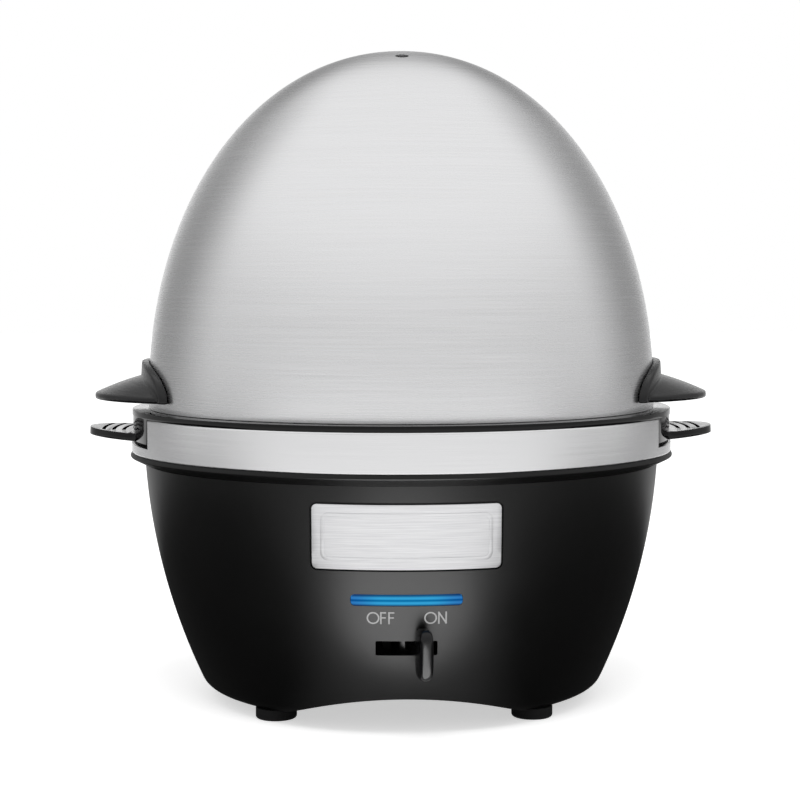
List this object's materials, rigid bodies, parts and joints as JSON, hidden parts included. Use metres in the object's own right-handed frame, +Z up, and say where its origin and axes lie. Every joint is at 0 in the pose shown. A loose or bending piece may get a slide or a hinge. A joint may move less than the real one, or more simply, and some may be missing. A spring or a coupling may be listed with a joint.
{
  "type": "electric egg cooker",
  "caption": "Electric egg cooker with a moulded base, steel band, lift-out egg tray with slotted handles, egg-shaped steel lid with side handles and a front toggle lever.",
  "frame": {"origin": "on the counter under the middle of the base", "axes": "+Z up, -Y towards the front with the lever, +X to the right seen from the front"},
  "size_m": [0.2106, 0.1828, 0.216],
  "materials": {
    "black_plastic": "satin black moulding",
    "tray_plastic": "glossy black moulding",
    "handle_plastic": "satin black moulding",
    "lever_plastic": "glossy black moulding",
    "lid_steel": "fine brushed, round the lid",
    "brushed_steel": "fine brushed, round the band",
    "badge_steel": "fine brushed, across the plate",
    "blue_lens": "clear blue, lit from behind",
    "panel_print": "pad printed lettering",
    "board_green": "solder mask",
    "lamp_clear": "clear resin",
    "zinc_steel": "zinc plated",
    "sheet_steel": "plain rolled sheet",
    "heater_sheath": "drawn tube",
    "thermostat_white": "glazed body",
    "fuse_tan": "resin",
    "inner_black": "moulded",
    "red_silicone": "matte",
    "black_rubber": "matte"
  },
  "bodies": {
    "base": {"base_housing": "black_plastic", "trim_band": "brushed_steel", "badge_plate": "badge_steel", "light_lens": "blue_lens", "led_board": "board_green", "leds": "lamp_clear", "board_screws": "zinc_steel", "buzzer": "inner_black", "switch_bracket": "inner_black", "bracket_screws": "zinc_steel", "lever_pivot_pin": "zinc_steel", "power_switch": "inner_black", "plate_seal": "red_silicone", "heating_plate": "sheet_steel", "heating_element": "heater_sheath", "thermostat": "thermostat_white", "thermostat_nuts": "zinc_steel", "thermal_fuse": "fuse_tan", "heat_shield": "sheet_steel", "shield_nuts": "zinc_steel", "bottom_cover": "black_plastic", "cover_screws": "zinc_steel", "foot_front_left": "black_rubber", "foot_front_right": "black_rubber", "foot_rear_left": "black_rubber", "foot_rear_right": "black_rubber", "cord_gland": "black_rubber"},
    "tray": {"egg_tray": "tray_plastic"},
    "lid": {"lid_dome": "lid_steel", "lid_handle_left": "handle_plastic", "lid_handle_right": "handle_plastic", "lid_handle_screws": "zinc_steel", "lid_handle_washers": "zinc_steel"},
    "lever": {"switch_lever": "lever_plastic"},
    "slider": {"switch_slider": "inner_black"}
  },
  "joints": [
    {"name": "tray_lift", "type": "slide", "parent": "base", "child": "tray", "axis": [0, 0, 1], "range_m": [0, 0.08]},
    {"name": "lid_lift", "type": "slide", "parent": "tray", "child": "lid", "axis": [0, 0, 1], "range_m": [0, 0.15]},
    {"name": "lever_turn", "type": "hinge", "parent": "base", "child": "lever", "pos_m": [0, -0.06392, 0.0288], "axis": [0, 0, 1], "range_deg": [-33, 0]},
    {"name": "switch_slide", "type": "slide", "parent": "base", "child": "slider", "axis": [1, 0, 0], "range_m": [0, 0.00511]}
  ],
  "couplings": [
    {"joint": "switch_slide", "follows": "lever_turn", "m_per_rad": -0.008876}
  ]
}
